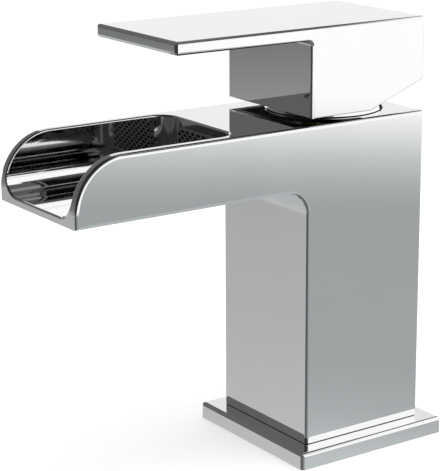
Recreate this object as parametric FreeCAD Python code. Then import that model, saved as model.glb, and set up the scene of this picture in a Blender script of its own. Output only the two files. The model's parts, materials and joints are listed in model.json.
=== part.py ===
import FreeCAD, Part
import math
import os

# Single-lever basin mixer with an open waterfall spout and a square column.
# Millimetres. The origin lies on the deck under the column's centre, +Z is up,
# +X is to the right of a person who faces the faucet, and the spout points to -Y.

Vec = FreeCAD.Vector
ORIGIN = Vec(0, 0, 0)
ACROSS = Vec(1, 0, 0)
BACK = Vec(0, 1, 0)
UP = Vec(0, 0, 1)

# ------------------------------------------------------------------ driving sizes

# Base flange and its gasket
flange_width = 57.2
flange_height = 5.4
flange_edge = 0.7
gasket_width = 51.0
gasket_band = 4.0
gasket_thickness = 1.6
gasket_side_clearance = 0.1
spigot_width = 38.0
spigot_clearance = 0.2

# Column and spout of the body casting
column_width = 45.7
body_height = 108.3
body_edge = 0.7
spout_reach = 103.8
spout_depth = 20.1
nose_radius = 16.0
underside_radius = 8.0

# Open trough
trough_wall = 3.4
trough_floor = 2.3
trough_bottom_radius = 6.3
trough_corner_radius = 6.0
trough_back = 46.9
rim_edge = 0.35

# Flow plate at the back of the trough, and the chamber behind it
plate_half_width = 13.5
plate_step = 0.8
plate_headroom = 2.8
plate_corner_radius = 3.2
plate_thickness = 1.2
plate_clearance = 0.1
seal_thickness = 0.8
seal_width = 0.8
chamber_length = 14.0
hole_pitch = 2.94
hole_row_pitch = 1.04
hole_width = 1.6
hole_height = 0.84
hole_margin = 0.1

# Water supply: two threaded inlets and one stud hole in the solid foot
inlet_spacing = 16.0
inlet_offset = -4.0
inlet_thread_radius = 4.5
inlet_thread_depth = 10.0
stud_offset = 12.5
stud_thread_radius = 3.4
stud_thread_depth = 14.0
waterway_radius = 2.1

# Cartridge, of the usual 35 mm size, in a bore with water all round it
cartridge_radius = 17.4
cartridge_wall = 2.0
outlet_annulus = 1.6
outlet_half_width = 9.0
outlet_height = 4.5
nut_recess = 8.3
nut_thread_clearance = 0.15
nut_thread_length = 4.0
nut_hex_across_flats = 30.0
nut_hex_height = 3.0
housing_roof = 3.5
neck_radius = 13.5
neck_bore_radius = 12.4
neck_clearance = 0.3
neck_below_top = 0.5
seal_ring_height = 1.6

# Cartridge base
base_thickness = 6.0
peg_width = 3.6
peg_length = 2.0
peg_spacing = 24.0
peg_offset = 3.0
peg_clearance = 0.1
port_spacing = 11.0
port_offset = -4.5
port_width = 4.4
drain_half_width = 3.4
drain_front = 1.6
drain_back = 6.8
port_seal_width = 1.0
port_seal_thickness = 1.2
drain_window_bottom = 1.2
drain_window_height = 2.0

# Ceramic discs and the carrier that drives the moving one
disc_thickness = 3.5
fixed_disc_clearance = 0.4
moving_disc_radius = 12.4
pocket_half_width = 5.0
pocket_front = -2.9
pocket_back = 8.0
pocket_depth = 1.8
lug_width = 2.4
lug_length = 1.5
lug_spacing = 19.0
lug_clearance = 0.1
carrier_floor = 0.9
carrier_gap = 0.5
tab_half_length = 4.0
tab_inner = 7.5
tab_thickness = 2.0
tab_height = 2.6
tab_clearance = 0.3

# Rotator and pivot pin
rotator_flange_thickness = 3.6
rotator_running_gap = 0.1
pin_radius = 1.5
pin_end_recess = 0.5
pin_running_clearance = 0.05
pivot_above_shoulder = 4.0
slot_half_length = 7.0
slot_clearance = 0.3

# Lever stem: a square bar with a barrel-shaped end that moves the disc carrier
stem_width = 8.0
stem_above_pivot = 24.0
stem_below_pivot = 5.0
stem_rod_radius = 1.9
barrel_radius = 2.8
barrel_length = 3.0
barrel_arm = 15.0
barrel_clearance = 0.3

# Handle: a lever plate on a hollow block
lift_range = 20.0
relief_extra = 0.5
handle_gap = 2.1
handle_width = 44.9
handle_front = 69.7
block_front = 21.4
block_height = 23.6
relief_start = 1.5
handle_wall = 2.9
lever_thickness = 4.1
handle_edge = 0.65
block_corner_radius = 1.5
boss_radius = 8.2
boss_above_pivot = 10.5
socket_clearance = 0.1
rib_width = 9.0
rib_below_screw = 4.6
screw_above_pivot = 16.0
screw_radius = 2.5
screw_length = 8.0
screw_thread_clearance = 0.1
screw_hex_across_flats = 2.5
screw_hex_depth = 2.5
plug_radius = 3.0
plug_length = 4.0
plug_clearance = 0.1

# Collar between the body and the handle
collar_radius = 18.8
collar_clearance = 0.4
collar_hex_clearance = 0.1
rotator_below_collar = 0.8

# ------------------------------------------------------------------ worked-out places

half_column = column_width / 2
spout_underside = body_height - spout_depth
floor_top = spout_underside + trough_floor
trough_half_width = half_column - trough_wall
plate_bottom = floor_top + plate_step
plate_top = body_height - plate_headroom
recess_depth = plate_thickness + seal_thickness
chamber_half_width = plate_half_width - seal_width
chamber_bottom = plate_bottom + seal_width
chamber_top = plate_top - seal_width
chamber_back = -trough_back + recess_depth + chamber_length
chamber_corner_radius = plate_corner_radius - seal_width

# Levels of the cartridge, from the shoulder that the nut clamps down to the seat
shoulder = body_height - nut_recess
roof_underside = shoulder - housing_roof
rotator_flange_top = roof_underside - rotator_running_gap
rotator_bottom = rotator_flange_top - rotator_flange_thickness
pivot_height = shoulder + pivot_above_shoulder
barrel_height = pivot_height - barrel_arm
carrier_top = rotator_bottom - carrier_gap
carrier_bottom = barrel_height - barrel_length / 2 - barrel_clearance - carrier_floor
moving_disc_bottom = carrier_bottom - disc_thickness
fixed_disc_bottom = moving_disc_bottom - disc_thickness
housing_bottom = fixed_disc_bottom
seat = housing_bottom - base_thickness
housing_inner_radius = cartridge_radius - cartridge_wall
bore_radius = cartridge_radius + outlet_annulus
neck_top = body_height - neck_below_top

# Levels of the collar, the rotator's top and the handle
block_bottom = body_height + handle_gap
lever_underside = block_bottom + block_height
lever_top = lever_underside + lever_thickness
collar_top = block_bottom - collar_clearance
nut_ledge = shoulder + nut_thread_length
nut_top = nut_ledge + nut_hex_height
rotator_top = collar_top - rotator_below_collar
rotator_radius = neck_bore_radius - neck_clearance

# The stem leans forward by half the lift when the water is off, so it leans
# back by as much when the lever is right up.
stem_lean = lift_range / 2
closed_shift = barrel_arm * math.sin(math.radians(stem_lean))
pivot = Vec(0, 0, pivot_height)
half_stem = stem_width / 2
overcut = 1.0


# ------------------------------------------------------------------ plain shapes

def block(x, y, z):
    """A box between the low and high value of each pair."""
    return Part.makeBox(x[1] - x[0], y[1] - y[0], z[1] - z[0], Vec(x[0], y[0], z[0]))


def upright(radius, bottom, top, x=0.0, y=0.0):
    return Part.makeCylinder(radius, top - bottom, Vec(x, y, bottom))


def ring(outer, inner, bottom, top, x=0.0, y=0.0):
    return upright(outer, bottom, top, x, y).cut(upright(inner, bottom, top, x, y))


def hexagon(across_flats, bottom, top):
    """An upright hexagonal bar on the origin's axis."""
    corner = across_flats / math.sqrt(3)
    points = []
    for degrees in range(0, 361, 60):
        turn = math.radians(degrees)
        points.append(Vec(corner * math.cos(turn), corner * math.sin(turn), bottom))
    return Part.Face(Part.makePolygon(points)).extrude(UP * (top - bottom))


def across(edges, width):
    """A closed side outline, drawn at x = 0, as a solid of this width centred on x = 0."""
    solid = Part.Face(Part.Wire(edges)).extrude(ACROSS * width)
    solid.translate(ACROSS * (-width / 2))
    return solid


def side(y, z):
    return Vec(0, y, z)


def line(start, end):
    return Part.LineSegment(start, end).toShape()


def quarter(start, corner_centre, end):
    """A quarter circle from start to end round its centre."""
    chord_middle = (start + end) * 0.5
    outward = (chord_middle - corner_centre).normalize()
    middle = corner_centre + outward * (start - corner_centre).Length
    return Part.Arc(start, middle, end).toShape()


def fillet_where(solid, radius, wanted):
    """Round the edges that the test picks by their bounding box."""
    return solid.makeFillet(radius, [edge for edge in solid.Edges if wanted(edge.BoundBox)])


def chamfer_where(solid, size, wanted):
    """Break the edges that the test picks by their bounding box."""
    return solid.makeChamfer(size, [edge for edge in solid.Edges if wanted(edge.BoundBox)])


def same(a, b):
    return abs(a - b) < 1e-4


def lean(solid):
    """Tilt an upright piece of the lever to where it stands with the water off."""
    solid.rotate(pivot, ACROSS, stem_lean)
    return solid


# ------------------------------------------------------------------ base

def base_flange():
    half = flange_width / 2
    plate = block((-half, half), (-half, half), (0, flange_height))
    plate = chamfer_where(plate, flange_edge, lambda b: b.ZMax > flange_height / 2)
    return plate.cut(spigot(spigot_clearance)).cut(square_frame(gasket_side_clearance))


def spigot(clearance):
    """The square foot of the casting, which stands in the flange, or the flange's hole for it."""
    half = spigot_width / 2 + clearance
    return block((-half, half), (-half, half), (0, flange_height))


def square_frame(clearance):
    """The flat rubber gasket's band, or the groove for it in the flange."""
    outer = gasket_width / 2 + clearance
    inner = gasket_width / 2 - gasket_band - clearance
    band = block((-outer, outer), (-outer, outer), (0, gasket_thickness))
    return band.cut(block((-inner, inner), (-inner, inner), (0, gasket_thickness)))


def base_gasket():
    return square_frame(0.0)


# ------------------------------------------------------------------ body casting

def body_outline():
    """Column and spout seen from the side, from the back of the foot round to its front."""
    tip = -spout_reach
    nose_start = side(tip + nose_radius, body_height)
    nose_end = side(tip, body_height - nose_radius)
    web_start = side(-half_column - underside_radius, spout_underside)
    web_end = side(-half_column, spout_underside - underside_radius)
    foot_back = side(half_column, flange_height)
    top_back = side(half_column, body_height)
    lip = side(tip, spout_underside)
    foot_front = side(-half_column, flange_height)
    return [line(foot_back, top_back),
            line(top_back, nose_start),
            quarter(nose_start, side(tip + nose_radius, body_height - nose_radius), nose_end),
            line(nose_end, lip),
            line(lip, web_start),
            quarter(web_start, side(web_start.y, web_end.z), web_end),
            line(web_end, foot_front),
            line(foot_front, foot_back)]


def body_edges(b):
    """All outer edges of the casting except the foot's, and the two lines of the inner web."""
    on_side = same(abs(b.XMin), half_column) and same(b.XMin, b.XMax)
    top_back = same(b.YMin, half_column) and same(b.ZMin, body_height)
    at_foot = same(b.ZMax, flange_height)
    return (on_side or top_back) and not at_foot


def rim_edges(b):
    """The trough's inner top edges, round the opening and down both noses."""
    on_wall = same(abs(b.XMin), trough_half_width) and same(b.XMin, b.XMax)
    on_nose = b.YMin < -spout_reach + nose_radius and b.YMax > -spout_reach
    down_nose = on_wall and on_nose and b.ZMin > floor_top and b.YMax < -trough_back
    on_top = same(b.ZMin, body_height) and same(b.ZMax, body_height)
    inside = max(abs(b.XMin), abs(b.XMax)) < half_column - body_edge - rim_edge
    round_opening = on_top and inside and b.YMax < -trough_back + rim_edge
    return round_opening or down_nose


def trough():
    """The water channel: a round-bottomed section along the spout, with round back corners."""
    half = trough_half_width
    top = body_height + overcut
    front = -spout_reach - overcut
    r = trough_bottom_radius
    section = [line(Vec(-half, front, top), Vec(-half, front, floor_top + r)),
               quarter(Vec(-half, front, floor_top + r), Vec(-half + r, front, floor_top + r),
                       Vec(-half + r, front, floor_top)),
               line(Vec(-half + r, front, floor_top), Vec(half - r, front, floor_top)),
               quarter(Vec(half - r, front, floor_top), Vec(half - r, front, floor_top + r),
                       Vec(half, front, floor_top + r)),
               line(Vec(half, front, floor_top + r), Vec(half, front, top)),
               line(Vec(half, front, top), Vec(-half, front, top))]
    channel = Part.Face(Part.Wire(section)).extrude(BACK * (-trough_back - front))
    plan = block((-half, half), (front, -trough_back), (floor_top, top))
    plan = fillet_where(plan, trough_corner_radius,
                        lambda b: same(b.YMin, -trough_back) and same(b.XMin, b.XMax)
                        and b.ZMax - b.ZMin > trough_floor)
    return channel.common(plan)


def arch_wire(half_width, bottom, top, radius, y):
    """An upright outline with round top corners, as the flow plate has."""
    low_left = Vec(-half_width, y, bottom)
    low_right = Vec(half_width, y, bottom)
    right_start = Vec(half_width, y, top - radius)
    right_end = Vec(half_width - radius, y, top)
    left_start = Vec(-half_width + radius, y, top)
    left_end = Vec(-half_width, y, top - radius)
    return Part.Wire([line(low_left, low_right),
                      line(low_right, right_start),
                      quarter(right_start, Vec(right_end.x, y, right_start.z), right_end),
                      line(right_end, left_start),
                      quarter(left_start, Vec(left_start.x, y, left_end.z), left_end),
                      line(left_end, low_left)])


def arch(half_width, bottom, top, radius, front, depth):
    return Part.Face(arch_wire(half_width, bottom, top, radius, front)).extrude(BACK * depth)


def outlet_chamber():
    """The recess for the flow plate, the chamber behind it and the way in from the cartridge."""
    recess = arch(plate_half_width + plate_clearance, plate_bottom - plate_clearance,
                  plate_top + plate_clearance, plate_corner_radius,
                  -trough_back - plate_clearance, recess_depth + plate_clearance)
    chamber = arch(chamber_half_width, chamber_bottom, chamber_top, chamber_corner_radius,
                   -trough_back, recess_depth + chamber_length)
    passage = block((-outlet_half_width, outlet_half_width),
                    (chamber_back - overcut, -bore_radius / 2),
                    (chamber_bottom, chamber_bottom + outlet_height))
    return recess.fuse(chamber).fuse(passage)


def cartridge_bore():
    """The bore that holds the cartridge and takes the nut's thread at its top."""
    return upright(bore_radius, seat, body_height + overcut)


def supply_ways():
    """Threaded inlets in the foot, with slanting waterways up to the cartridge seat."""
    cuts = []
    for hand in (-1, 1):
        x = hand * inlet_spacing / 2
        cuts.append(upright(inlet_thread_radius, -overcut, inlet_thread_depth, x, inlet_offset))
        start = Vec(x, inlet_offset, inlet_thread_depth)
        end = Vec(hand * port_spacing / 2, port_offset, seat)
        direction = end - start
        reach = direction.Length + waterway_radius
        cuts.append(Part.makeCylinder(waterway_radius, reach, start, direction))
    cuts.append(upright(stud_thread_radius, -overcut, stud_thread_depth, 0, stud_offset))
    return cuts + pegs(peg_clearance)


def body_casting():
    body = across(body_outline(), column_width)
    body = chamfer_where(body, body_edge, body_edges)
    body = body.fuse(spigot(0.0))
    body = body.cut(trough())
    body = chamfer_where(body, rim_edge, rim_edges)
    body = body.cut(outlet_chamber()).cut(cartridge_bore())
    for hole in supply_ways():
        body = body.cut(hole)
    return body.removeSplitter()


# ------------------------------------------------------------------ flow plate

def hole_outline(x, z, y):
    """One diamond-shaped hole, wider than it is high."""
    reach = hole_width / 2
    rise = hole_height / 2
    corners = [(reach, 0), (0, rise), (-reach, 0), (0, -rise), (reach, 0)]
    return Part.makePolygon([Vec(x + dx, y, z + dz) for dx, dz in corners])


def flow_plate():
    """A thin plate with staggered rows of holes that turn the jet into a smooth sheet."""
    front = -trough_back
    outline = arch_wire(plate_half_width, plate_bottom, plate_top, plate_corner_radius, front)
    half_width = hole_width / 2
    field_half_width = chamber_half_width - half_width - hole_margin
    field_bottom = chamber_bottom + hole_height / 2 + hole_margin
    field_height = chamber_top - hole_height / 2 - hole_margin - field_bottom
    rows = int(field_height / hole_row_pitch) + 1
    first_row = field_bottom + (field_height - (rows - 1) * hole_row_pitch) / 2
    corner_x = plate_half_width - plate_corner_radius
    corner_z = plate_top - plate_corner_radius
    holes = []
    for row in range(rows):
        z = first_row + row * hole_row_pitch
        shift = hole_pitch / 2 * (row % 2)
        places = int((field_half_width - shift) / hole_pitch)
        first = -places if row % 2 == 0 else -places - 1
        for place in range(first, places + 1):
            x = shift + place * hole_pitch
            in_corner = abs(x) > corner_x and z > corner_z
            corner_reach = math.hypot(abs(x) + half_width - corner_x, z - corner_z)
            beyond_corner = in_corner and corner_reach > chamber_corner_radius
            if abs(x) <= field_half_width and not beyond_corner:
                holes.append(hole_outline(x, z, front))
    face = Part.makeFace([outline] + holes, "Part::FaceMakerCheese")
    return face.extrude(BACK * plate_thickness)


def flow_plate_seal():
    """A thin rubber frame that the flow plate beds on."""
    front = -trough_back + plate_thickness
    frame = arch(plate_half_width, plate_bottom, plate_top, plate_corner_radius, front,
                 seal_thickness)
    opening = arch(chamber_half_width, chamber_bottom, chamber_top, chamber_corner_radius, front,
                   seal_thickness)
    return frame.cut(opening)


# ------------------------------------------------------------------ cartridge, fixed pieces

def drain(bottom, top, margin=0.0):
    """The way out for mixed water, down through the fixed disc and into the base."""
    return block((-drain_half_width - margin, drain_half_width + margin),
                 (drain_front - margin, drain_back + margin), (bottom, top))


def inlets(bottom, top, margin=0.0):
    """The ways up for hot and cold water, through the base and the fixed disc."""
    half = port_width / 2 + margin
    return [block((hand * port_spacing / 2 - half, hand * port_spacing / 2 + half),
                  (port_offset - half, port_offset + half), (bottom, top))
            for hand in (-1, 1)]


def pegs(clearance):
    """Two square pegs under the cartridge that keep it from turning, or the holes for them."""
    half = peg_width / 2 + clearance
    bottom = seat - peg_length - clearance
    return [block((hand * peg_spacing / 2 - half, hand * peg_spacing / 2 + half),
                  (peg_offset - half, peg_offset + half), (bottom, seat))
            for hand in (-1, 1)]


def cartridge_base():
    """The foot of the cartridge: water comes up through its inlets and leaves by its window."""
    base = upright(cartridge_radius, seat, housing_bottom)
    for peg in pegs(0.0):
        base = base.fuse(peg)
    for way in inlets(seat, housing_bottom):
        base = base.cut(way)
    window_bottom = seat + drain_window_bottom
    window_top = window_bottom + drain_window_height
    base = base.cut(drain(window_bottom, housing_bottom))
    window = block((-drain_half_width, drain_half_width), (drain_front, cartridge_radius + overcut),
                   (window_bottom, window_top))
    base = base.cut(window)
    for recess in seal_blocks(port_seal_width):
        base = base.cut(recess)
    return base


def seal_blocks(margin):
    """The space round each port in the base's top, and round each inlet in its underside."""
    top_recess = housing_bottom - port_seal_thickness
    upper = inlets(top_recess, housing_bottom, margin) + [drain(top_recess, housing_bottom, margin)]
    lower = inlets(seat, seat + port_seal_thickness, margin)
    return upper + lower


def port_seals():
    """Rubber frames that seal the base against the fixed disc above and the seat below."""
    outsides = seal_blocks(port_seal_width)
    insides = seal_blocks(0.0)
    return Part.makeCompound([outer.cut(inner) for outer, inner in zip(outsides, insides)])


def fixed_disc():
    radius = housing_inner_radius - fixed_disc_clearance
    disc = upright(radius, fixed_disc_bottom, moving_disc_bottom)
    for way in inlets(fixed_disc_bottom, moving_disc_bottom):
        disc = disc.cut(way)
    return disc.cut(drain(fixed_disc_bottom, moving_disc_bottom))


def cartridge_housing():
    shell = upright(cartridge_radius, housing_bottom, shoulder)
    shell = shell.fuse(upright(neck_radius, shoulder, neck_top))
    shell = shell.cut(upright(housing_inner_radius, housing_bottom, roof_underside))
    return shell.cut(upright(neck_bore_radius, roof_underside, neck_top))


def cartridge_seal():
    """A square-section rubber ring that closes the water's annulus under the nut."""
    return ring(bore_radius, cartridge_radius, shoulder - seal_ring_height, shoulder)


def cartridge_nut():
    thread = upright(bore_radius - nut_thread_clearance, shoulder, nut_ledge)
    head = hexagon(nut_hex_across_flats, nut_ledge, nut_top)
    return thread.fuse(head).cut(upright(neck_radius + neck_clearance, shoulder, nut_top))


def collar():
    """A chromed ring round the nut's hexagon that closes the bore under the handle."""
    hole = hexagon(nut_hex_across_flats + 2 * collar_hex_clearance, nut_ledge, collar_top)
    return upright(collar_radius, nut_ledge, collar_top).cut(hole)


# ------------------------------------------------------------------ cartridge, moving pieces

def tabs(clearance, travel, bottom, top):
    """Two upright keys beside the stem, or the slots for them."""
    inner = tab_inner - clearance
    outer = tab_inner + tab_thickness + clearance
    low = -tab_half_length - travel - clearance
    high = tab_half_length + travel + clearance
    return [block(sorted((hand * inner, hand * outer)), (low, high), (bottom, top))
            for hand in (-1, 1)]


def rotator():
    """The part that the handle turns: it holds the pivot pin and keys the disc carrier round."""
    flange = upright(housing_inner_radius - neck_clearance, rotator_bottom, rotator_flange_top)
    body = flange.fuse(upright(rotator_radius, rotator_flange_top, rotator_top)).removeSplitter()
    half_slot = half_stem + slot_clearance
    body = body.cut(block((-half_slot, half_slot), (-slot_half_length, slot_half_length),
                          (rotator_bottom, rotator_top)))
    body = body.cut(cross_bar(pin_radius, rotator_radius))
    slot_top = carrier_top + tab_height + tab_clearance
    for slot in tabs(tab_clearance, closed_shift, rotator_bottom, slot_top):
        body = body.cut(slot)
    return body


def cross_bar(radius, half_length):
    """A round bar along the axis that the lever tilts about."""
    start = Vec(-half_length, 0, pivot_height)
    return Part.makeCylinder(radius, 2 * half_length, start, ACROSS)


def pivot_pin():
    return cross_bar(pin_radius, rotator_radius - pin_end_recess)


def lugs(clearance):
    """Two square lugs under the carrier, or the blind holes for them in the moving disc."""
    half = lug_width / 2 + clearance
    bottom = carrier_bottom - lug_length - clearance
    return [block((hand * lug_spacing / 2 - half, hand * lug_spacing / 2 + half),
                  (closed_shift - half, closed_shift + half), (bottom, carrier_bottom))
            for hand in (-1, 1)]


def disc_carrier():
    """Slides the moving disc when the stem's barrel end swings in its pocket."""
    carrier = upright(moving_disc_radius, carrier_bottom, carrier_top, 0, closed_shift)
    for tab in tabs(0.0, 0.0, carrier_top, carrier_top + tab_height):
        tab.translate(BACK * closed_shift)
        carrier = carrier.fuse(tab)
    for lug in lugs(0.0):
        carrier = carrier.fuse(lug)
    pocket_bottom = carrier_bottom + carrier_floor
    pocket_radius = barrel_radius + barrel_clearance
    return carrier.cut(upright(pocket_radius, pocket_bottom, carrier_top, 0, closed_shift))


def moving_disc():
    disc = upright(moving_disc_radius, moving_disc_bottom, carrier_bottom, 0, closed_shift)
    pocket = block((-pocket_half_width, pocket_half_width),
                   (closed_shift + pocket_front, closed_shift + pocket_back),
                   (moving_disc_bottom, moving_disc_bottom + pocket_depth))
    disc = disc.cut(pocket)
    for hole in lugs(lug_clearance):
        disc = disc.cut(hole)
    return disc


def lever_stem():
    bar = block((-half_stem, half_stem), (-half_stem, half_stem),
                (pivot_height - stem_below_pivot, pivot_height + stem_above_pivot))
    rod = upright(stem_rod_radius, barrel_height, pivot_height - stem_below_pivot)
    half_barrel = barrel_length / 2
    barrel = upright(barrel_radius, barrel_height - half_barrel, barrel_height + half_barrel)
    hole = cross_bar(pin_radius + pin_running_clearance, stem_width)
    return lean(bar.fuse(rod).fuse(barrel).cut(hole))


# ------------------------------------------------------------------ handle

def relief_rise(y):
    """How high the underside's relief for the lift has risen at this depth."""
    return (y - relief_start) * math.tan(math.radians(lift_range + relief_extra))


def handle_outline():
    """Lever plate and block seen from the side."""
    back = half_column
    r = block_corner_radius
    corner_start = side(-block_front - r, lever_underside)
    corner_end = side(-block_front, lever_underside - r)
    points = [side(-block_front, block_bottom),
              side(relief_start, block_bottom),
              side(back, block_bottom + relief_rise(back)),
              side(back, lever_top),
              side(-handle_front, lever_top),
              side(-handle_front, lever_underside),
              corner_start]
    edges = [line(start, end) for start, end in zip(points, points[1:])]
    edges.append(quarter(corner_start, side(corner_start.y, corner_end.z), corner_end))
    edges.append(line(corner_end, points[0]))
    return edges


def handle_cavity():
    """The hollow of the block, open below."""
    half = handle_width / 2 - handle_wall
    return block((-half, half), (-block_front + handle_wall, half_column - handle_wall),
                 (block_bottom - overcut, lever_underside))


def handle_boss():
    """The boss round the stem and the rib that carries the screw hole to the back wall."""
    screw_height = pivot_height + screw_above_pivot
    top = pivot_height + 2 * stem_above_pivot
    boss = upright(boss_radius, pivot_height + boss_above_pivot, top)
    rib = block((-rib_width / 2, rib_width / 2), (0, 2 * column_width),
                (screw_height - rib_below_screw, top))
    return lean(boss.fuse(rib))


def screw_way(radius, start, end):
    """A round bar along the grub screw's axis, between two distances from the stem's axis."""
    centre = Vec(0, start, pivot_height + screw_above_pivot)
    return lean(Part.makeCylinder(radius, end - start, centre, BACK))


def back_face_distance():
    """From the stem's axis to the handle's back face, along the grub screw's axis."""
    tilt = math.radians(stem_lean)
    return (half_column + screw_above_pivot * math.sin(tilt)) / math.cos(tilt)


def handle_edges(b):
    """The handle's outer edges that are eased: all but those round the underside of the block."""
    on_side = same(b.XMin, b.XMax) and same(abs(b.XMin), handle_width / 2)
    under_front = same(b.ZMax, block_bottom)
    under_back = same(b.YMin, relief_start) and same(b.YMax, half_column)
    on_top = same(b.ZMin, lever_top)
    on_front = same(b.YMin, -handle_front) and same(b.YMax, -handle_front)
    return (on_side and not under_front and not under_back) or on_top or on_front


def handle():
    shell = across(handle_outline(), handle_width)
    shell = chamfer_where(shell, handle_edge, handle_edges)
    cavity = handle_cavity()
    shell = shell.cut(cavity).fuse(handle_boss().common(cavity))
    socket_half = half_stem + socket_clearance
    socket = block((-socket_half, socket_half), (-socket_half, socket_half),
                   (pivot_height, pivot_height + stem_above_pivot + socket_clearance))
    shell = shell.cut(lean(socket))
    back = back_face_distance()
    shell = shell.cut(screw_way(screw_radius + screw_thread_clearance, 0, back))
    shell = shell.cut(screw_way(plug_radius + plug_clearance, back - plug_length, back + column_width))
    return shell.removeSplitter()


def grub_screw():
    start = half_stem
    screw = screw_way(screw_radius, start, start + screw_length)
    key_hole = hexagon(screw_hex_across_flats, 0, screw_hex_depth)
    key_hole.rotate(ORIGIN, ACROSS, -90)
    key_start = start + screw_length - screw_hex_depth
    key_hole.translate(Vec(0, key_start, pivot_height + screw_above_pivot))
    return screw.cut(lean(key_hole))


def index_plug():
    """The hot and cold mark that closes the screw hole, flush with the handle's back face."""
    back = back_face_distance()
    plug = screw_way(plug_radius, back - plug_length, back + plug_radius)
    behind = block((-column_width, column_width), (half_column, 2 * column_width), (0, 2 * lever_top))
    return plug.cut(behind)


# ------------------------------------------------------------------ files

SUB_PARTS = [body_casting, base_flange, base_gasket, flow_plate, flow_plate_seal,
             cartridge_base, port_seals, fixed_disc, cartridge_housing,
             cartridge_seal, cartridge_nut, collar, rotator, pivot_pin,
             disc_carrier, moving_disc, lever_stem, handle, grub_screw, index_plug]


def main():
    os.makedirs("parts", exist_ok=True)
    for sub_part in SUB_PARTS:
        shape = sub_part()
        name = sub_part.__name__
        shape.exportStep("parts/" + name + ".step")
        print(name, "solids", len(shape.Solids), "mm3", round(shape.Volume), "valid", shape.isValid())


main()
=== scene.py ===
import bmesh
import bpy
import json
import math
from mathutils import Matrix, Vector


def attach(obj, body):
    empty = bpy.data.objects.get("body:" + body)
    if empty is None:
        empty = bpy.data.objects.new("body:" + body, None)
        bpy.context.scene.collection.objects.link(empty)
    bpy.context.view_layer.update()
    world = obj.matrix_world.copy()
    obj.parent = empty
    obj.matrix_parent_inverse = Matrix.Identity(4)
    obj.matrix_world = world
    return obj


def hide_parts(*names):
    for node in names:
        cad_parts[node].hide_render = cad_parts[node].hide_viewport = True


# A chromed waterfall basin mixer on a plain pale floor. Metres, +Z up, the spout to -Y.

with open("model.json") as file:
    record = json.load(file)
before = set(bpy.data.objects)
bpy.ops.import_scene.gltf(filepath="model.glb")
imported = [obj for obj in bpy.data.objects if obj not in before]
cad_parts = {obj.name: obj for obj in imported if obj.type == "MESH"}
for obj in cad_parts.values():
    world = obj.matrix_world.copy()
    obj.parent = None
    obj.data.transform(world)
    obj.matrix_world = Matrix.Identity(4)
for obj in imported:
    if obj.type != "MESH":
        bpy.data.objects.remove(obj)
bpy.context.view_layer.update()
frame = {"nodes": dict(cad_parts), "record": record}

MM = 0.001

# Sizes repeated from the CAD, in millimetres
BODY_HEIGHT = 108.3
HALF_COLUMN = 22.85
BORE_RADIUS = 19.0
FLANGE_HEIGHT = 5.4
COLLAR_RADIUS = 18.8
COLLAR_TOP = 110.0
HALF_HANDLE = 22.45
BLOCK_FRONT = -21.4
BLOCK_BACK = 22.85
BLOCK_RELIEF_TOP = 118.5
LEVER_UNDERSIDE = 134.0
# The axis and radius of the arc under the spout
ARC_Y = -30.85
ARC_Z = 80.2
ARC_RADIUS = 8.0
# The legs of the CAD's chamfers
BODY_EDGE = 0.7
HANDLE_EDGE = 0.65
RIM_EDGE = 0.35

# Edges that only the shells round, in millimetres
CRISP_EDGE = 0.25
FOOT_EDGE = 0.4
BLOCK_EDGE = 0.35

# Boxes round surfaces out of sight inside a casting, in millimetres: lowest and highest corner
WATER_CHAMBER = ((-13.7, -46.8, 90.8), (13.7, -15.0, 107.8))
HANDLE_HOLLOW = ((-19.9, -18.9, 0.0), (19.9, 20.3, 134.05))

# How near to a size of the CAD a corner or face has to be to count as there, in millimetres
CLOSE = 0.01
NEAR = 0.05
BORE_SLACK = 0.2
# A face looks along an axis if its normal has more than this along it.
FACING = 0.9


# ------------------------------------------------------------------ camera

CAMERA_PLACE = Vector((433.68, -334.12, 215.95)) * MM
CAMERA_AZIMUTH = math.radians(54.691)
CAMERA_PITCH = math.radians(15.502)
CAMERA_LENS = 133.2
CAMERA_SENSOR = 36.0
CAMERA_SHIFT = (-0.0722, 0.0084)
CAMERA_CLIP = (0.02, 20.0)


def make_camera():
    data = bpy.data.cameras.new("camera")
    data.sensor_width = CAMERA_SENSOR
    data.lens = CAMERA_LENS
    data.shift_x, data.shift_y = CAMERA_SHIFT
    data.clip_start, data.clip_end = CAMERA_CLIP
    camera = bpy.data.objects.new("camera", data)
    bpy.context.scene.collection.objects.link(camera)
    level = math.cos(CAMERA_PITCH)
    ahead = Vector((-math.sin(CAMERA_AZIMUTH) * level,
                    math.cos(CAMERA_AZIMUTH) * level,
                    -math.sin(CAMERA_PITCH)))
    camera.location = CAMERA_PLACE
    camera.rotation_mode = "QUATERNION"
    camera.rotation_quaternion = ahead.to_track_quat("-Z", "Y")
    bpy.context.scene.camera = camera


# ------------------------------------------------------------------ node helpers

# The part of a noise's range over which a colour, and the gloss, go from end to end
COLOUR_RANGE = (0.3, 0.7)
GLOSS_RANGE = (0.2, 0.8)


def grey(level):
    return (level, level, level, 1.0)


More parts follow.
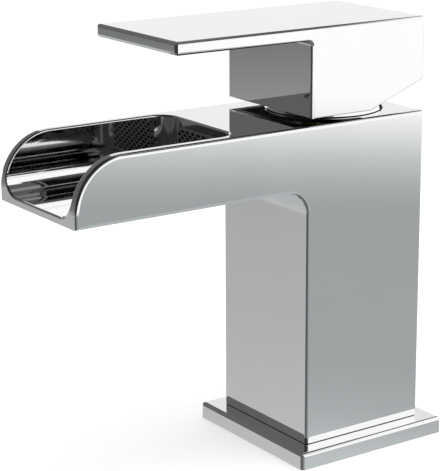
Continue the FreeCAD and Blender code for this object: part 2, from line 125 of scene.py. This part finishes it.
class Nodes:
    """Adds nodes to a tree and links them, one short line each."""

    def __init__(self, tree):
        self.tree = tree
        tree.nodes.clear()

    def add(self, kind, **settings):
        node = self.tree.nodes.new(kind)
        for name, value in settings.items():
            setattr(node, name, value)
        return node

    def link(self, source, target):
        self.tree.links.new(source, target)

    def put(self, value, socket):
        """Link a socket's output, or set a plain value."""
        if isinstance(value, bpy.types.NodeSocket):
            self.link(value, socket)
        else:
            socket.default_value = value

    def math(self, operation, a, b):
        node = self.add("ShaderNodeMath", operation=operation)
        self.put(a, node.inputs[0])
        self.put(b, node.inputs[1])
        return node.outputs[0]

    def spread(self, value, low, high, to_low=0.0, to_high=1.0, smooth=False):
        """Map the range from low to high onto the range from to_low to to_high."""
        node = self.add("ShaderNodeMapRange")
        if smooth:
            node.interpolation_type = "SMOOTHSTEP"
        self.put(value, node.inputs["Value"])
        node.inputs["From Min"].default_value = low
        node.inputs["From Max"].default_value = high
        node.inputs["To Min"].default_value = to_low
        node.inputs["To Max"].default_value = to_high
        return node.outputs["Result"]

    def blend(self, factor, a, b):
        """Mix two colours. The numbers are those of the node's colour sockets."""
        node = self.add("ShaderNodeMix", data_type="RGBA")
        self.put(factor, node.inputs[0])
        self.put(a, node.inputs[6])
        self.put(b, node.inputs[7])
        return node.outputs[2]

    def drift(self, noise, dark, pale):
        """A colour that drifts between two, each given as red, green and blue."""
        return self.blend(self.spread(noise, *COLOUR_RANGE), (*dark, 1.0), (*pale, 1.0))

    def vary(self, noise, middle, swing):
        """A value that varies by the swing to either side of the middle."""
        return self.spread(noise, *GLOSS_RANGE, middle - swing, middle + swing)

    def scaled(self, colour, factor):
        node = self.add("ShaderNodeVectorMath", operation="SCALE")
        self.link(colour, node.inputs[0])
        self.put(factor, node.inputs["Scale"])
        return node.outputs["Vector"]

    def times(self, colour, factors):
        node = self.add("ShaderNodeVectorMath", operation="MULTIPLY")
        self.link(colour, node.inputs[0])
        node.inputs[1].default_value = factors
        return node.outputs["Vector"]

    def ramp(self, value, stops):
        """A colour ramp of greys: each stop is a place from 0 to 1 and a level."""
        node = self.add("ShaderNodeValToRGB")
        self.link(value, node.inputs["Fac"])
        elements = node.color_ramp.elements
        while len(elements) < len(stops):
            elements.new(0.5)
        for element, (place, level) in zip(elements, stops):
            element.position = place
            element.color = grey(level)
        return node.outputs["Color"]

    def noise(self, scale, detail=2.0, roughness=0.5, stretch=(1, 1, 1)):
        """Noise fixed to the object, with about this many features per metre."""
        place = self.add("ShaderNodeTexCoord").outputs["Object"]
        mapping = self.add("ShaderNodeMapping")
        self.link(place, mapping.inputs["Vector"])
        mapping.inputs["Scale"].default_value = stretch
        node = self.add("ShaderNodeTexNoise")
        self.link(mapping.outputs["Vector"], node.inputs["Vector"])
        node.inputs["Scale"].default_value = scale
        node.inputs["Detail"].default_value = detail
        node.inputs["Roughness"].default_value = roughness
        return node.outputs["Fac"]

    def bump(self, height, distance):
        node = self.add("ShaderNodeBump")
        self.link(height, node.inputs["Height"])
        node.inputs["Distance"].default_value = distance
        return node.outputs["Normal"]


# ------------------------------------------------------------------ studio

# What the metal reflects. Angles are in degrees: azimuths from +X towards +Y, elevations from
# the horizon up. Each side of the room is a list of elevation and grey, with the table below
# the horizon and the wall and ceiling above it.
OPEN_SIDE = ((-60, 0.44), (-30, 0.46), (-22.5, 0.54), (-21.2, 0.42), (-19.7, 0.375),
             (-14.3, 0.36), (-13.4, 0.45), (-12.5, 0.62), (-11.8, 0.80), (-11, 1.0),
             (6, 1.0), (25, 0.96))
DARK_SIDE = ((-60, 0.40), (-35, 0.46), (-22.5, 0.50), (-17.8, 0.435), (-14.7, 0.41),
             (-10.8, 0.27), (-9, 0.185), (2, 0.11), (18, 0.107), (32, 0.125), (50, 0.10),
             (75, 0.08))
# A round region has the azimuth and elevation of its middle, then the angle from the middle
# where it begins and the angle where it is full. The dark side is in these two:
FRONT = (-107, 0, 68, 58)
OVERHEAD = (-101, 51.5, 80, 77.5)
# Here the dark side keeps only a share of its light.
DARKEST_FRONT = (-72, 0, 53, 37)
DARKEST_OVERHEAD = (-80, 60, 55, 40)
DARKEST_SHARE = 0.2
# Here the open side keeps a share that falls between two elevations.
FAR_WALL = (144, 10, 40, 20)
FAR_WALL_HEIGHTS = (7, 24)
FAR_WALL_SHARES = (0.90, 0.79)
# These have a grey of their own.
WALL_GAP = (118, 0, 16, 12)
WALL_GAP_GREY = 0.02
CEILING_PANEL = (88, 64, 10, 7)
CEILING_PANEL_GREY = 0.22
TABLE_IN_FRONT = (-46, -58, 50, 32)
TABLE_IN_FRONT_GREY = 0.14
# The open side's table ends between these elevations. It and the dark side are tinted cool.
TABLE_END = (-14, -11)
TABLE_TINT = (0.945, 1.0, 1.012)
DARK_TINT = (0.98, 1.0, 1.02)
# All but the camera and the metal see this grey.
PLAIN_LIGHT = 0.85

# The floor, with its radius in metres and its drop below the part in millimetres
FLOOR_RADIUS = 2.5
FLOOR_DROP = 0.1
FLOOR_SEGMENTS = 96
FLOOR_GREY = 0.6
FLOOR_GLOW = 0.5


def sine(degrees):
    return math.sin(math.radians(degrees))


def cosine(degrees):
    return math.cos(math.radians(degrees))


def make_world():
    """A white studio over a grey table. In front of the faucet, and above it, the room is dark.

    The camera sees only its plain white. The metal sees all of it, and everything else is lit
    by plain grey from all sides.
    """
    world = bpy.data.worlds.new("studio")
    bpy.context.scene.world = world
    world.use_nodes = True
    n = Nodes(world.node_tree)
    direction = n.add("ShaderNodeTexCoord").outputs["Generated"]
    parts = n.add("ShaderNodeSeparateXYZ")
    n.link(direction, parts.inputs[0])
    upward = parts.outputs["Z"]
    height = n.spread(upward, -1.0, 1.0)

    def region(azimuth, elevation, outer, inner):
        """0 outside the round region and 1 where it is full."""
        dot = n.add("ShaderNodeVectorMath", operation="DOT_PRODUCT")
        n.link(direction, dot.inputs[0])
        dot.inputs[1].default_value = (cosine(elevation) * cosine(azimuth),
                                       cosine(elevation) * sine(azimuth), sine(elevation))
        return n.spread(dot.outputs["Value"], cosine(outer), cosine(inner), smooth=True)

    def rise(elevations, low, high):
        """From low to high between the two elevations."""
        return n.spread(upward, sine(elevations[0]), sine(elevations[1]), low, high)

    def side(stops):
        """One side's greys by height, from straight down to straight up."""
        return n.ramp(height, [((sine(elevation) + 1) / 2, level) for elevation, level in stops])

    open_side = side(OPEN_SIDE)
    far_wall = n.scaled(open_side, rise(FAR_WALL_HEIGHTS, *FAR_WALL_SHARES))
    bright = n.blend(region(*FAR_WALL), open_side, far_wall)
    bright = n.blend(region(*WALL_GAP), bright, grey(WALL_GAP_GREY))
    bright = n.blend(rise(TABLE_END, 1.0, 0.0), bright, n.times(bright, TABLE_TINT))

    dark_side = side(DARK_SIDE)
    darkest = n.math("MAXIMUM", region(*DARKEST_FRONT), region(*DARKEST_OVERHEAD))
    dark = n.blend(darkest, dark_side, n.scaled(dark_side, DARKEST_SHARE))

    darkness = n.math("MAXIMUM", region(*FRONT), region(*OVERHEAD))
    level = n.blend(darkness, bright, n.times(dark, DARK_TINT))
    level = n.blend(region(*CEILING_PANEL), level, grey(CEILING_PANEL_GREY))
    level = n.blend(region(*TABLE_IN_FRONT), level, grey(TABLE_IN_FRONT_GREY))

    rays = n.add("ShaderNodeLightPath")
    backdrop = n.add("ShaderNodeBackground")
    n.link(n.blend(rays.outputs["Is Camera Ray"], level, grey(1.0)), backdrop.inputs["Color"])
    plain = n.add("ShaderNodeBackground")
    plain.inputs["Color"].default_value = grey(PLAIN_LIGHT)
    seen = n.math("ADD", rays.outputs["Is Camera Ray"], rays.outputs["Is Glossy Ray"])
    seen = n.math("ADD", seen, rays.outputs["Is Transmission Ray"])
    both = n.add("ShaderNodeMixShader")
    n.link(seen, both.inputs[0])
    n.link(plain.outputs[0], both.inputs[1])
    n.link(backdrop.outputs[0], both.inputs[2])
    n.link(both.outputs[0], n.add("ShaderNodeOutputWorld").inputs["Surface"])


def make_floor():
    """A pale floor that reads as white to the camera and keeps a soft shadow."""
    mesh = bpy.data.meshes.new("floor")
    bm = bmesh.new()
    bmesh.ops.create_circle(bm, cap_ends=True, segments=FLOOR_SEGMENTS, radius=FLOOR_RADIUS)
    bm.to_mesh(mesh)
    bm.free()
    floor = bpy.data.objects.new("floor", mesh)
    bpy.context.scene.collection.objects.link(floor)
    floor.location.z = -FLOOR_DROP * MM
    floor.visible_glossy = False

    material = bpy.data.materials.new("pale_floor")
    material.use_nodes = True
    n = Nodes(material.node_tree)
    matt = n.add("ShaderNodeBsdfDiffuse")
    matt.inputs["Color"].default_value = grey(FLOOR_GREY)
    glow = n.add("ShaderNodeEmission")
    glow.inputs["Strength"].default_value = FLOOR_GLOW
    both = n.add("ShaderNodeAddShader")
    n.link(matt.outputs[0], both.inputs[0])
    n.link(glow.outputs[0], both.inputs[1])
    shown = n.add("ShaderNodeMixShader")
    n.link(n.add("ShaderNodeLightPath").outputs["Is Camera Ray"], shown.inputs[0])
    n.link(matt.outputs[0], shown.inputs[1])
    n.link(both.outputs[0], shown.inputs[2])
    n.link(shown.outputs[0], n.add("ShaderNodeOutputMaterial").inputs["Surface"])
    mesh.materials.append(material)


def make_lamp(name, place, size, power):
    """A round soft lamp that shines on the origin and doesn't show in the metal."""
    data = bpy.data.lights.new(name, "AREA")
    data.shape = "DISK"
    data.size = size
    data.energy = power
    lamp = bpy.data.objects.new(name, data)
    bpy.context.scene.collection.objects.link(lamp)
    lamp.location = place
    lamp.rotation_mode = "QUATERNION"
    lamp.rotation_quaternion = (-place).to_track_quat("-Z", "Y")
    lamp.visible_glossy = False


# ------------------------------------------------------------------ materials

# The heights of the finishes' relief, in metres
BUFFING = 0.000003
GLAZE = 0.000003
FINE_GRAIN = 0.00001
GRAIN = 0.00002
COARSE_GRAIN = 0.00003
TURNING = 0.00002

CHROME_LEVELS = (0.97, 0.99)
CHROME_BLUENESS = 1.004
HOT_RED = (0.55, 0.02, 0.015, 1.0)
COLD_BLUE = (0.01, 0.07, 0.42, 1.0)
# Half the width over which the index mark goes from red to blue, in millimetres
MARK_EDGE = 0.05


def new_material(name):
    material = bpy.data.materials.new(name)
    material.use_nodes = True
    n = Nodes(material.node_tree)
    shader = n.add("ShaderNodeBsdfPrincipled")
    n.link(shader.outputs[0], n.add("ShaderNodeOutputMaterial").inputs["Surface"])
    return material, n, shader


def chrome(name):
    """Polished chrome plate, with faint smears in its gloss and a trace of buffing waviness."""
    material, n, shader = new_material(name)
    shader.inputs["Metallic"].default_value = 1.0
    smear = n.noise(38.0, detail=4.0, roughness=0.6)
    dark, pale = ((level, level, level * CHROME_BLUENESS) for level in CHROME_LEVELS)
    n.link(n.drift(smear, dark, pale), shader.inputs["Base Color"])
    haze = n.noise(14.0, detail=5.0, roughness=0.65, stretch=(1, 1, 3))
    n.link(n.spread(haze, 0.35, 0.75, 0.025, 0.06), shader.inputs["Roughness"])
    wave = n.noise(55.0, detail=1.0)
    n.link(n.bump(wave, BUFFING), shader.inputs["Normal"])
    return material


def plastic(name, dark, pale, roughness, grain, grain_scale):
    """Moulded plastic, rubber or ceramic: slight colour drift and a fine grain."""
    material, n, shader = new_material(name)
    n.link(n.drift(n.noise(60.0, detail=3.0), dark, pale), shader.inputs["Base Color"])
    fine = n.noise(grain_scale, detail=2.0)
    n.link(n.vary(fine, roughness, 0.05), shader.inputs["Roughness"])
    n.link(n.bump(fine, grain), shader.inputs["Normal"])
    return material


def turned_metal(name, dark, pale, roughness):
    """Bare metal as it comes from the lathe: fine rings round Z in gloss and relief."""
    material, n, shader = new_material(name)
    shader.inputs["Metallic"].default_value = 1.0
    rings = n.noise(90.0, detail=3.0, stretch=(1, 1, 40))
    n.link(n.drift(rings, dark, pale), shader.inputs["Base Color"])
    n.link(n.vary(rings, roughness, 0.07), shader.inputs["Roughness"])
    n.link(n.bump(rings, TURNING), shader.inputs["Normal"])
    return material


def index_mark(name):
    """The plug's face: red on the hot side and blue on the cold side."""
    material, n, shader = new_material(name)
    place = n.add("ShaderNodeTexCoord").outputs["Object"]
    parts = n.add("ShaderNodeSeparateXYZ")
    n.link(place, parts.inputs[0])
    cold_side = n.spread(parts.outputs["X"], -MARK_EDGE * MM, MARK_EDGE * MM)
    n.link(n.blend(cold_side, HOT_RED, COLD_BLUE), shader.inputs["Base Color"])
    n.link(n.vary(n.noise(900.0), 0.25, 0.05), shader.inputs["Roughness"])
    return material


# Plastics: dark and pale colour, roughness, relief, grains per metre.
# Turned metals: dark and pale colour, roughness.
MATERIALS = {
    "chromed_casting": chrome("chromed_casting"),
    "chromed_trim": chrome("chromed_trim"),
    "chromed_handle": chrome("chromed_handle"),
    "flow_plate_plastic": plastic("flow_plate_plastic", (0.085, 0.087, 0.090),
                                  (0.110, 0.112, 0.116), 0.30, FINE_GRAIN, 2500.0),
    # Near-black painted shade for the walls of the plate's holes
    "hole_wall_painted_shade": plastic("hole_wall_painted_shade", (0.008, 0.008, 0.008),
                               (0.014, 0.014, 0.015), 0.60, FINE_GRAIN, 2500.0),
    "white_plastic": plastic("white_plastic", (0.72, 0.72, 0.69), (0.80, 0.80, 0.77),
                             0.40, FINE_GRAIN, 2000.0),
    "grey_plastic": plastic("grey_plastic", (0.10, 0.105, 0.11), (0.14, 0.145, 0.15),
                            0.45, GRAIN, 2200.0),
    "ceramic_disc": plastic("ceramic_disc", (0.80, 0.79, 0.75), (0.86, 0.85, 0.82),
                            0.15, GLAZE, 3000.0),
    "black_rubber": plastic("black_rubber", (0.012, 0.012, 0.012), (0.022, 0.022, 0.022),
                            0.65, COARSE_GRAIN, 1500.0),
    "raw_brass": turned_metal("raw_brass", (0.16, 0.115, 0.05), (0.24, 0.17, 0.08), 0.5),
    "bare_brass": turned_metal("bare_brass", (0.52, 0.36, 0.14), (0.64, 0.46, 0.20), 0.28),
    "steel_pin": turned_metal("steel_pin", (0.42, 0.42, 0.43), (0.55, 0.55, 0.56), 0.25),
    "index_plastic": index_mark("index_plastic"),
    # Near-black painted shade where the casting and the collar stand on the parts below them
    "joint_painted_shade": turned_metal("joint_painted_shade", (0.02, 0.02, 0.021), (0.04, 0.04, 0.041), 0.45),
    # Duller chrome, with a dark base colour that is painted shade under the lever
    "dull_chrome_painted_shade": turned_metal("dull_chrome_painted_shade", (0.16, 0.16, 0.165),
                                      (0.22, 0.22, 0.225), 0.16),
    "cast_zinc": turned_metal("cast_zinc", (0.05, 0.05, 0.055), (0.08, 0.08, 0.085), 0.55),
}


def dress_cad_nodes():
    """Every CAD node gets the finish of its slot in the record."""
    for entry in frame["record"]["subparts"]:
        node = frame["nodes"][entry["node"]]
        node.data.materials.clear()
        node.data.materials.append(MATERIALS[entry["material_slot"]])


# ------------------------------------------------------------------ rounded shells

# A chamfer's two edges are rounded back by this share of its leg, which leaves a full fillet.
ROUNDING = 0.69
ROUND_STEPS = 3
# How far a chamfer's width may be from the width that its leg gives, as a share of it
WIDTH_SLACK = 0.2
# Faces that meet at less than this angle shade as one surface.
CREASE = math.radians(35)
# Triangles that meet at less than this angle are parts of one flat face.
FLAT = math.radians(0.3)
# A face is a strip if its width is less than this share of its length.
STRIP_SHARE = 0.3
# Two strips meet in a mitre if the cosine between their directions is less than this.
MITRE = 0.7
# Corners nearer than this become one, in the CAD's mesh and in a shell, in millimetres.
CAD_WELD = 0.001
SHELL_WELD = 0.003


def whole_faces(node):
    """The node's CAD mesh, with its triangles joined into whole faces."""
    bm = bmesh.new()
    bm.from_mesh(frame["nodes"][node].data)
    bmesh.ops.remove_doubles(bm, verts=bm.verts, dist=CAD_WELD * MM)
    bmesh.ops.dissolve_limit(bm, angle_limit=FLAT, verts=bm.verts, edges=bm.edges)
    bm.normal_update()
    return bm


def width_of(face):
    return face.calc_area() / max(edge.calc_length() for edge in face.edges)


def turns_by(edge, degrees, slack):
    return abs(math.degrees(edge.calc_face_angle_signed()) - degrees) < slack


def in_box(p, box):
    return all(low < value < high for low, value, high in zip(box[0], p, box[1]))


def round_edges(bm, edges, size):
    bmesh.ops.bevel(bm, geom=edges, offset=size * MM, offset_type="OFFSET",
                    segments=ROUND_STEPS, profile=0.5, affect="EDGES", clamp_overlap=False,
                    loop_slide=False)
    bm.normal_update()


def round_chamfers(bm, leg):
    """Turn every 45 degree chamfer with this leg, in millimetres, into a fillet."""
    width = leg * MM * math.sqrt(2)
    edges = [edge for edge in bm.edges if turns_by(edge, 45, 5)
             and abs(min(width_of(face) for face in edge.link_faces) - width)
             < WIDTH_SLACK * width]
    round_edges(bm, edges, ROUNDING * leg)


def ease_corners(bm, size, wanted):
    """Round the right-angled edges whose two ends pass the test, all in millimetres."""
    edges = [edge for edge in bm.edges if turns_by(edge, 90, 15)
             and all(wanted(corner.co / MM) for corner in edge.verts)]
    round_edges(bm, edges, size)


def shade(bm, mesh):
    """Flat faces shade flat and the narrow strips beside them round, as on the real surface.

    Where two rounded edges meet in a mitre, each keeps its own shading up to the mitre.
    """
    along = {}
    for face in bm.faces:
        longest = max(face.edges, key=lambda edge: edge.calc_length())
        length = longest.calc_length()
        if face.calc_area() < STRIP_SHARE * length ** 2:
            along[face] = (longest.verts[1].co - longest.verts[0].co) / length

    def mitred(face, other):
        return (face in along and other in along
                and abs(along[face].dot(along[other])) < MITRE)

    normals = []
    for face in bm.faces:
        for corner in face.verts:
            mean = Vector()
            for other in corner.link_faces:
                if other.normal.angle(face.normal, 0.0) < CREASE and not mitred(face, other):
                    mean += other.normal * other.calc_area() ** 2
            normals.append(mean.normalized() if mean.length > 0 else face.normal)
    bm.to_mesh(mesh)
    mesh.shade_smooth()
    mesh.normals_split_custom_set(normals)


def make_shell(node, piece, body, slot, bm, others=()):
    """Stand the rounded mesh in for its node, with the finish of its slot.

    Each of the other finishes comes with the test that picks its faces, by middle and normal.
    """
    bmesh.ops.remove_doubles(bm, verts=bm.verts, dist=SHELL_WELD * MM)
    bm.normal_update()
    for face in bm.faces:
        middle = face.calc_center_median() / MM
        for index, (_, wanted) in enumerate(others, 1):
            if wanted(middle, face.normal):
                face.material_index = index
    mesh = bpy.data.meshes.new(piece)
    for name in (slot, *(other for other, _ in others)):
        mesh.materials.append(MATERIALS[name])
    shade(bm, mesh)
    bm.free()
    shell = bpy.data.objects.new(piece, mesh)
    bpy.context.scene.collection.objects.link(shell)
    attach(shell, body)
    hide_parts(node)


# ------------------------------------------------------------------ casting and base

# The faces of the foot that are painted with the shade of the joint: how far up they reach, as a
# share of the foot's height, and how far down their normals point
BODY_SHADE_TOP = 0.6
BODY_SHADE_NORMAL = (-0.95, -0.3)


def even_underside_arc(bm, side):
    """Rebuild the chamfer round the arc under the spout, whose two edges have unlike steps."""
    axis = Vector((0, ARC_Y, ARC_Z)) * MM

    def corners(x, radius):
        """The corners of one edge of the chamfer, from the lowest up."""
        found = []
        for vert in bm.verts:
            spoke = vert.co - axis
            on_arc = (abs(spoke.yz.length / MM - radius) < CLOSE
                      and min(spoke.y, spoke.z) > -CLOSE * MM)
            if on_arc and abs(vert.co.x / MM - x) < CLOSE:
                found.append(vert)
        return sorted(found, key=lambda vert: vert.co.z)

    outer = corners(side * HALF_COLUMN, ARC_RADIUS + BODY_EDGE)
    inner = corners(side * (HALF_COLUMN - BODY_EDGE), ARC_RADIUS)
    ring = set(outer + inner)
    strip = [face for face in bm.faces if ring.issuperset(face.verts)]
    bmesh.ops.delete(bm, geom=strip, context="FACES")
    while len(outer) > len(inner):
        bmesh.ops.dissolve_verts(bm, verts=[outer.pop(len(outer) // 2)])
    for near, far in zip(inner[1:-1], outer[1:-1]):
        spoke = near.co - axis
        far.co.yz = (axis + spoke * (1 + BODY_EDGE / ARC_RADIUS)).yz
    for step in range(len(inner) - 1):
        around = [inner[step], inner[step + 1], outer[step + 1], outer[step]]
        bm.faces.new(around if side < 0 else around[::-1])
    bm.normal_update()


def body_shell():
    """The casting, with rounded edges, painted shade round its foot and raw brass inside."""
    bm = whole_faces("body_casting")
    even_underside_arc(bm, 1)
    even_underside_arc(bm, -1)
    round_chamfers(bm, BODY_EDGE)
    round_chamfers(bm, RIM_EDGE)

    def at_foot(p):
        on_outside = max(abs(p.x), abs(p.y)) > HALF_COLUMN - BODY_EDGE - NEAR
        return on_outside and abs(p.z - FLANGE_HEIGHT) < CLOSE

    ease_corners(bm, FOOT_EDGE, at_foot)

    def inside(p, normal):
        in_bore = p.xy.length < BORE_RADIUS + BORE_SLACK and p.z < BODY_HEIGHT - NEAR
        return in_bore or in_box(p, WATER_CHAMBER)

    # The lowest faces of the foot's rounding get the painted shade.
    def foot(p, normal):
        low, high = BODY_SHADE_NORMAL
        at_joint = FLANGE_HEIGHT < p.z < FLANGE_HEIGHT + BODY_SHADE_TOP * FOOT_EDGE
        return at_joint and low < normal.z < high

    make_shell("body_casting", "body_shell", "root", "chromed_casting", bm,
               [("raw_brass", inside), ("joint_painted_shade", foot)])


def flange_shell():
    bm = whole_faces("base_flange")
    round_chamfers(bm, BODY_EDGE)
    make_shell("base_flange", "flange_shell", "root", "chromed_trim", bm)


# ------------------------------------------------------------------ flow plate

# How much wider the holes are at the front than at the back
HOLE_WIDENING = 1.5
HOLE_CORNERS = 4


def loops(edges):
    """The corners of each closed loop that these edges form, in the order of the edges."""
    left = dict.fromkeys(edges)
    while left:
        edge = next(iter(left))
        del left[edge]
        corner = edge.verts[1]
        loop = [edge.verts[0], corner]
        while True:
            edge = next((other for other in corner.link_edges if other in left), None)
            if edge is None:
                break
            del left[edge]
            corner = edge.other_vert(corner)
            loop.append(corner)
        yield loop[:-1]


def flow_plate_shell():
    """The perforated plate, with each diamond hole widened towards the front and painted shade
    on the holes' walls.
    """
    bm = whole_faces("flow_plate")
    front = [face for face in bm.faces if face.normal.y < -FACING]
    bmesh.ops.delete(bm, geom=front, context="FACES")
    rims = [edge for edge in bm.edges if edge.is_boundary]
    for loop in loops(rims):
        if len(loop) != HOLE_CORNERS:
            continue
        centre = sum((corner.co for corner in loop), Vector()) / HOLE_CORNERS
        for corner in loop:
            corner.co = centre + (corner.co - centre) * HOLE_WIDENING
            # The walls round each hole get the near-black painted shade.
            for wall in corner.link_faces:
                wall.material_index = 1
    bmesh.ops.triangle_fill(bm, use_beauty=True, edges=rims, normal=(0, -1, 0))
    bm.normal_update()

    def none_besides(p, normal):
        """The holes' walls have their painted shade already."""
        return False

    make_shell("flow_plate", "flow_plate_shell", "root", "flow_plate_plastic", bm,
               [("hole_wall_painted_shade", none_besides)])


# ------------------------------------------------------------------ collar

# The foot's quarter round is cut at these angles, in degrees.
FOOT_CUTS = (0, 30, 60, 90)
# How far the ring leans in above its foot, per unit of height
COLLAR_TAPER = 0.2
# The painted shade at the foot: see the casting's
COLLAR_SHADE_TOP = 0.5
COLLAR_SHADE_NORMAL = -0.05


def collar_shell():
    """The ring, with its top edge eased and a rounded foot where it stands on the body."""
    bm = whole_faces("collar")
    for turn in FOOT_CUTS:
        level = (BODY_HEIGHT + FOOT_EDGE * (1 - sine(turn))) * MM
        bmesh.ops.bisect_plane(bm, geom=bm.verts[:] + bm.edges[:] + bm.faces[:],
                               plane_co=(0, 0, level), plane_no=(0, 0, 1))
    for vert in bm.verts:
        radius = vert.co.xy.length / MM
        above = vert.co.z / MM - BODY_HEIGHT
        if radius > COLLAR_RADIUS - NEAR:
            rise = min(1.0, max(0.0, above) / FOOT_EDGE)
            inward = FOOT_EDGE * (1 - math.sqrt(1 - (1 - rise) ** 2))
            inward += COLLAR_TAPER * max(0.0, above - FOOT_EDGE)
            vert.co.xy *= (COLLAR_RADIUS - inward) / radius
    bm.normal_update()

    def at_top(p):
        return p.z > COLLAR_TOP - CLOSE and p.xy.length > COLLAR_RADIUS - FOOT_EDGE

    ease_corners(bm, CRISP_EDGE, at_top)

    # The lowest faces of the collar's foot get the painted shade.
    def foot(p, normal):
        on_outside = p.xy.length > COLLAR_RADIUS - 1.5 * FOOT_EDGE
        at_joint = p.z < BODY_HEIGHT + COLLAR_SHADE_TOP * FOOT_EDGE
        return on_outside and at_joint and normal.z < COLLAR_SHADE_NORMAL

    make_shell("collar", "collar_shell", "root", "chromed_trim", bm, [("joint_painted_shade", foot)])


# ------------------------------------------------------------------ handle

def handle_shell():
    """The handle, with rounded edges, raw zinc inside and duller chrome with painted shade under
    the lever.
    """
    bm = whole_faces("handle")
    round_chamfers(bm, HANDLE_EDGE)

    def under_block(p):
        on_outside = (abs(p.x) > HALF_HANDLE - NEAR or p.y < BLOCK_FRONT + NEAR
                      or p.y > BLOCK_BACK - NEAR)
        return on_outside and p.z < BLOCK_RELIEF_TOP + NEAR and p.y > BLOCK_FRONT - NEAR

    ease_corners(bm, BLOCK_EDGE, under_block)

    def inside(p, normal):
        return in_box(p, HANDLE_HOLLOW)

    # The flat underside of the lever gets the duller chrome with painted shade.
    def underside(p, normal):
        in_front = p.y < BLOCK_FRONT - NEAR
        return in_front and abs(p.z - LEVER_UNDERSIDE) < NEAR and normal.z < -FACING

    make_shell("handle", "handle_shell", "lever", "chromed_handle", bm,
               [("cast_zinc", inside), ("dull_chrome_painted_shade", underside)])


# ------------------------------------------------------------------ scene

bpy.context.scene.view_settings.view_transform = "Standard"
make_camera()
make_world()
make_floor()
make_lamp("soft_top", place=Vector((0.3, 0.2, 1.4)), size=1.2, power=9.0)
dress_cad_nodes()
body_shell()
flange_shell()
flow_plate_shell()
collar_shell()
handle_shell()
